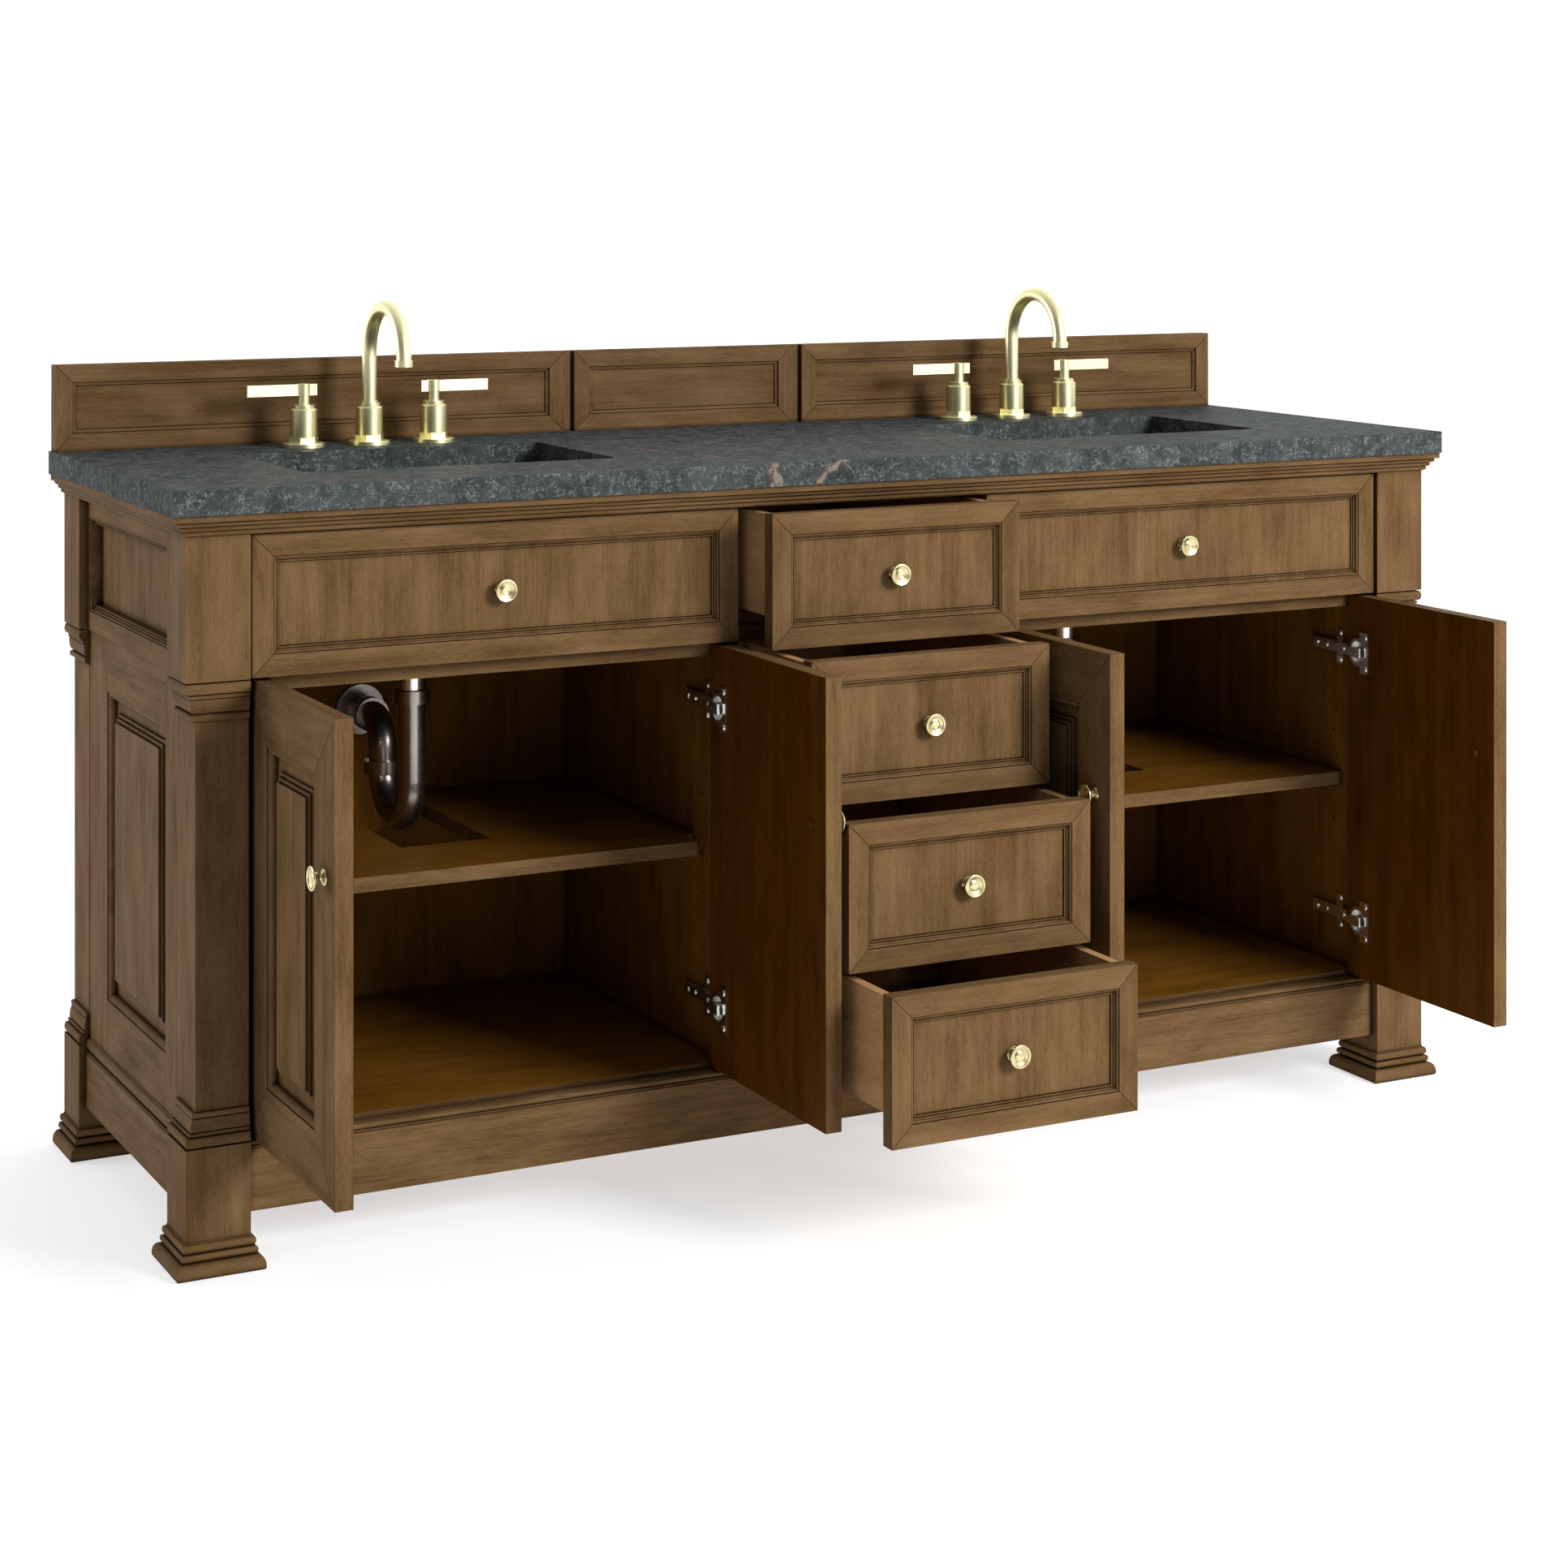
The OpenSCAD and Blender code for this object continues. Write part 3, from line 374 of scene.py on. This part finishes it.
def wood(name, picker, tones=OUTSIDE, coarse=0.0, inner=None, inner_tones=INSIDE,
         inner_grain=along_z, rough=0.5, crevice=0.010):
    """Wood material. inner masks the faces that take the inner tones and grain; crevice is the
    reach in metres of the painted shade in the grooves and corners."""
    g = Graph(name)
    colour, height = wood_colour(g, picker(g), tones, coarse)
    if inner:
        dark, _ = wood_colour(g, inner_grain(g, (0.2, 0.1, 0)), inner_tones, 0.0)
        colour = g.mix(inner(g), colour, dark)
    # Painted shade: ambient occlusion darkens the colour towards the pore tone in the grooves and
    # corners.
    shade = g.steps(g.crevice(crevice), 0.42, 0.98)
    painted_shade_colour = g.mix(0.92, colour, tones["pore"])
    colour = g.mix(shade, painted_shade_colour, colour)
    g.put(g.shader.inputs["Base Color"], colour)
    sheen = g.steps(height, 0.2, 0.9, rough + 0.12, rough - 0.06, smooth=False)
    g.put(g.shader.inputs["Roughness"], sheen)
    g.shader.inputs["Specular IOR Level"].default_value = WOOD_SPECULAR
    g.bump(height, 0.55 + 0.35 * coarse, 0.00022 + 0.0002 * coarse)
    return g.mat


# ---------- stone ----------

def stone(name):
    """Dark grey quartz: cloudy ground, short white wisps in patches, a few rust and cream veins."""
    g = Graph(name)
    drift = g.tree.nodes.new("ShaderNodeTexNoise")
    g.put(drift.inputs["Vector"], g.place)
    drift.inputs["Scale"].default_value = 34.0
    drift.inputs["Detail"].default_value = 4.0
    bent = g.moved(drift.outputs["Color"], (0.035, 0.035, 0.035), g.place)
    cloud = g.noise(bent, 26.0, 5.0, 0.62)
    fine = g.noise(g.place, 260.0, 4.0, 0.7)
    colour = g.mix(g.steps(cloud, 0.34, 0.66), rgb(42, 46, 47), rgb(60, 65, 65))
    colour = g.mix(g.steps(fine, 0.42, 0.78, 0.0, 0.42), colour, rgb(80, 84, 82))
    colour = g.mix(g.steps(fine, 0.44, 0.20, 0.0, 0.55), colour, rgb(22, 25, 26))
    # Short white wisps.
    line = g.abs(g.sub(g.noise(bent, 135.0, 4.0, 0.6), 0.5))
    patch = g.steps(g.noise(g.place, 70.0, 3.0, 0.6), 0.40, 0.62)
    wisps = g.both(g.steps(line, 0.030, 0.0), patch)
    flakes = g.both(g.steps(g.noise(bent, 210.0, 3.0, 0.6), 0.54, 0.68), patch)
    colour = g.mix(g.mul(flakes, 0.6), colour, rgb(112, 115, 112))
    colour = g.mix(g.mul(wisps, 0.55), colour, rgb(143, 145, 140))
    # Long veins: a dark seam with a broken rust thread in it. A lane is the distance to a
    # vein's line. Places are from the cabinet's middle and from the stone's front edge.
    x, y, z = g.split(g.place)
    front_y = WALL_Y - TOP_DEPTH
    sway = g.mul(g.sub(g.noise(g.place, 9.0, 5.0, 0.6), 0.5), 0.055)
    slanted = g.add(g.add(g.add(x, 0.145), g.mul(g.sub(y, front_y), 0.24)), sway)
    along_front = g.add(g.sub(y, front_y + 0.036), sway)
    cross = g.add(g.add(g.sub(y, front_y + 0.098), g.mul(g.sub(x, 0.31), 0.3)), sway)
    broken = g.steps(g.noise(g.place, 38.0, 2.0, 0.5), 0.38, 0.52)
    # Each vein: its lane, the axis it runs along, the middle and half of its length.
    veins = ((slanted, y, front_y + 0.14, 0.15),
             (along_front, x, -0.60, 0.31),
             (cross, x, 0.31, 0.10))
    for lane, along, middle, half in veins:
        near = g.steps(g.abs(g.sub(along, middle)), half, half - 0.03)
        dark = g.both(g.steps(g.abs(lane), 0.0075, 0.001), near)
        rust = g.both(g.steps(g.abs(lane), 0.0036, 0.0012), g.both(near, broken))
        colour = g.mix(g.mul(dark, 0.6), colour, rgb(26, 25, 25))
        colour = g.mix(g.mul(rust, 0.9), colour, rgb(122, 95, 79))
    # Two cream patches with rust rims and dark grains on the front edge.
    ragged = g.mul(g.sub(g.noise(g.place, 85.0, 3.0, 0.6), 0.5), 0.034)
    leaning = g.add(g.add(x, 0.048), g.mul(g.sub(TOP_HEIGHT, z), 1.25))
    grains = g.steps(g.voronoi(g.place, 560.0), 0.42, 0.24)
    front = g.less(y, front_y + 0.004)
    for lane in (slanted, leaning):
        far = g.add(g.abs(lane), ragged)
        rim = g.both(g.steps(far, 0.0095, 0.0075), front)
        core = g.both(g.steps(far, 0.0055, 0.0035), front)
        colour = g.mix(g.mul(rim, 0.6), colour, rgb(93, 70, 62))
        colour = g.mix(g.mul(core, 0.8), colour, rgb(123, 117, 107))
        colour = g.mix(g.mul(g.both(core, grains), 0.8), colour, rgb(52, 49, 44))
    g.put(g.shader.inputs["Base Color"], colour)
    g.put(g.shader.inputs["Roughness"], g.steps(fine, 0.3, 0.8, 0.50, 0.62, smooth=False))
    g.shader.inputs["Specular IOR Level"].default_value = STONE_SPECULAR
    g.bump(g.add(fine, g.mul(wisps, 0.3)), 0.15, 0.0002)
    return g.mat


# ---------- metals ----------

def metal(name, colour, rough):
    """Metal with a fine, slightly cloudy polish. colour is linear."""
    g = Graph(name)
    polish = g.noise(g.scaled(g.place, (900.0, 900.0, 900.0)), 1.0, 3.0, 0.6)
    cloud = g.noise(g.place, 30.0, 3.0, 0.5)
    light = tuple(min(1.0, c * 1.12) for c in colour[:3]) + (1.0,)
    dark = tuple(c * 0.86 for c in colour[:3]) + (1.0,)
    shade = g.add(g.mul(polish, 0.5), g.mul(cloud, 0.5))
    g.put(g.shader.inputs["Base Color"], g.mix(shade, dark, light))
    sheen = g.steps(polish, 0.25, 0.75, rough - 0.05, rough + 0.07, smooth=False)
    g.put(g.shader.inputs["Roughness"], sheen)
    g.shader.inputs["Metallic"].default_value = 1.0
    g.bump(polish, 0.12, 0.00004)
    return g.mat


# ---------- materials on the nodes ----------

def dress(node, mat):
    """Give every slot of a node the material."""
    obj = NODES[node]
    if not obj.data.materials:
        obj.data.materials.append(mat)
    for slot in obj.material_slots:
        slot.link = "OBJECT"
        slot.material = mat


def side_frame_grain(g):
    """Level rails between upright stiles; the upper frame is level all round."""
    x, y, z = g.split(g.place)
    front_stile, rear_stile = (WALL_Y - reach for reach in SIDE_STILES)
    stile = g.math("MAXIMUM", g.less(y, front_stile), g.less(rear_stile, y))
    stile = g.both(stile, g.less(z, SIDE_SPLIT_Z))
    return g.mix_vector(stile, along_y(g, (0.5, 0.2, 0)), along_z(g))


def backsplash_grain(g):
    """Level boards with mitred upright ends: two wide frames and a short one between them."""
    x, y, z = g.split(g.place)
    low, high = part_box("backsplash_panels")[0][2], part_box("backsplash_panels")[1][2]
    from_rail = g.math("MINIMUM", g.sub(z, low), g.sub(high, z))
    away = g.abs(x)
    wide = g.less(SPLASH_JOINT, away)
    outer, inner = SPLASH_FRAME_ENDS
    to_outer = g.math("MINIMUM", g.abs(g.sub(outer, away)), g.abs(g.sub(away, inner)))
    to_inner = g.abs(g.sub(SPLASH_MIDDLE_END, away))
    to_end = g.add(g.mul(wide, to_outer), g.mul(g.sub(1.0, wide), to_inner))
    stile = g.both(g.less(to_end, from_rail), g.less(to_end, SPLASH_RAIL_W))
    return g.mix_vector(stile, along_x(g), along_z(g, (0.4, 0.8, 0)))


STONE = stone("quartz_stone")
BRASS = metal("satin_brass", (0.95, 0.86, 0.50, 1), 0.34)
KNOB_BRASS = metal("knob_brass", (0.62, 0.54, 0.30, 1), 0.22)
NICKEL = metal("bright_nickel", (0.86, 0.85, 0.83, 1), 0.24)
TRAP = metal("dark_chrome_tube", (0.36, 0.31, 0.29, 1), 0.28)

for node in ("countertop", "sink_basins"):
    dress(node, STONE)
for node in ("faucet_spouts", "faucet_valves"):
    dress(node, BRASS)
for node in ("drain_fittings", "hinge_arms", "drawer_runners"):
    dress(node, NICKEL)
dress("trap_tubes", TRAP)
for i in range(1, 5):
    dress(f"faucet_lever_{i}", BRASS)
    dress(f"door_{i}_knob", KNOB_BRASS)
    dress(f"drawer_{i}_knob", KNOB_BRASS)
    dress(f"door_{i}_hinge_cups", NICKEL)
for i in (1, 2):
    dress(f"tip_out_{i}_knob", KNOB_BRASS)
    dress(f"tip_out_{i}_tray", NICKEL)

dress("corner_posts", wood("post_wood", along_z))
dress("side_panels", wood("side_panel_wood", along_z))
dress("side_frames", wood("side_frame_wood", side_frame_grain))
AROUND = wood("moulding_wood", around)
for node in ("crown_moulding", "post_capitals", "post_bases", "post_feet"):
    dress(node, AROUND)
dress("skirts", wood("skirt_wood", around, coarse=0.8))
dress("rails", wood("rail_wood", along_x, coarse=0.5))
dress("backsplash_panels", wood("backsplash_wood", backsplash_grain, coarse=0.4,
                                crevice=SPLASH_CREVICE))
dress("partitions", wood("inner_wood", along_z, BOARD, rough=0.4))


def lying(g):
    """Mask of the faces that look up or down."""
    return g.less(0.5, g.abs(g.split(g.normal)[2]))


LEVEL_BOARD = wood("level_board", along_x, inner=lying, inner_tones=BOARD,
                   inner_grain=along_x, rough=0.4)
for node in ("cabinet_floor", "shelves"):
    dress(node, LEVEL_BOARD)


def inner_face(node, axis, high):
    """Mask of the faces that lie in a node's inner plane: its high or low end on the axis."""
    lo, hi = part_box(node)
    plane = hi[axis] if high else lo[axis]

    def mask(g):
        p = g.split(g.place)[axis]
        return g.less(g.abs(g.sub(p, plane)), FACE_TOLERANCE)
    return mask


inside = inner_face("back_panel", 1, False)
dress("back_panel", wood("back_panel_wood", along_z, inner=inside, inner_tones=BOARD))
for i in range(1, 5):
    # The doors stand open: 1 and 3 have their inner face at the high end of X.
    high = i in (1, 3)
    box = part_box(f"door_{i}_frame")
    inside = inner_face(f"door_{i}_frame", 0, high)
    framed = mitred(box, 1, DOOR_RAIL_W)
    dress(f"door_{i}_frame", wood(f"door_{i}_frame_wood", framed, inner=inside))
    inside = inner_face(f"door_{i}_panel", 0, high)
    dress(f"door_{i}_panel", wood(f"door_{i}_panel_wood", along_z, inner=inside))
    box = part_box(f"drawer_{i}_front")
    framed = mitred(box, 0, FRONT_RAIL_W)
    dress(f"drawer_{i}_front", wood(f"drawer_{i}_front_wood", framed, crevice=FRONT_CREVICE))
    dress(f"drawer_{i}_box", wood(f"drawer_{i}_box_wood", along_y, PALE))
for i in (1, 2):
    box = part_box(f"tip_out_{i}_front")
    framed = mitred(box, 0, FRONT_RAIL_W)
    dress(f"tip_out_{i}_front",
          wood(f"tip_out_{i}_front_wood", framed, coarse=0.4, crevice=FRONT_CREVICE))
